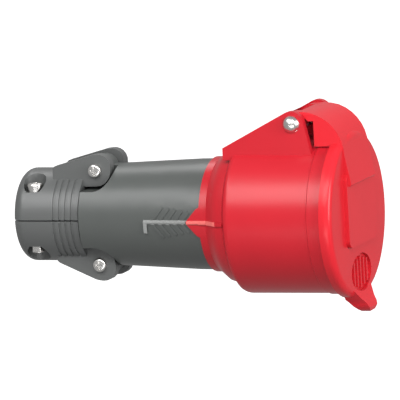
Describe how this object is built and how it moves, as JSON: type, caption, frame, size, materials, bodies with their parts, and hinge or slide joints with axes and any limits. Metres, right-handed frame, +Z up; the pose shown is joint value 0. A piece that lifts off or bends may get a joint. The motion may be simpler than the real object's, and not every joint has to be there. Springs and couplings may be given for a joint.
{
  "type": "pin and sleeve cable connector",
  "caption": "Cable-mounted pin and sleeve power connector: red housing with a spring lid, contact insert, grey rear shell and a two-part cable clamp.",
  "frame": {"origin": "on the connector's axis, in the plane of the housing's mouth", "axes": "+X along the axis, out of the mouth; +Z up to the lid's hinge; +Y to the side of the pin's clip"},
  "size_m": [0.1744, 0.0808, 0.1],
  "materials": {
    "red_shell": "moulded polyamide, satin gloss",
    "red_lid": "moulded polyamide, satin gloss",
    "grey_shell": "moulded polyamide, satin",
    "grey_clamp": "moulded polyamide, satin",
    "insert_grey": "moulded insulating plastic",
    "seal_rubber": "moulded rubber",
    "contact_brass": "turned brass",
    "screw_steel": "zinc-plated steel"
  },
  "bodies": {
    "housing": {"front_housing": "red_shell", "hinge_pin": "screw_steel", "pin_clip": "screw_steel", "lid_spring": "screw_steel", "insert_front": "insert_grey", "insert_back": "insert_grey", "contact_l1": "contact_brass", "contact_l2": "contact_brass", "contact_l3": "contact_brass", "earth_contact": "contact_brass", "contact_springs": "screw_steel", "terminal_screws": "screw_steel", "insert_screws": "screw_steel", "rear_shell": "grey_shell", "joint_seal": "seal_rubber", "cable_bush": "seal_rubber", "bush_washer": "screw_steel", "clamp_upper": "grey_clamp", "clamp_lower": "grey_clamp", "clamp_screws": "screw_steel", "clamp_nuts": "screw_steel", "upper_ear_screw": "screw_steel", "lower_ear_screw": "screw_steel", "ear_nuts": "screw_steel"},
    "lid": {"lid": "red_lid", "lid_gasket": "seal_rubber"}
  },
  "joints": [
    {"name": "lid_hinge", "type": "hinge", "parent": "housing", "child": "lid", "pos_m": [-0.0198, 0, 0.0465], "axis": [0, -1, 0], "range_deg": [0, 110], "stiffness_Nm_per_rad": 0.04, "springref_deg": -34.38, "deforming": ["lid_spring"]}
  ]
}
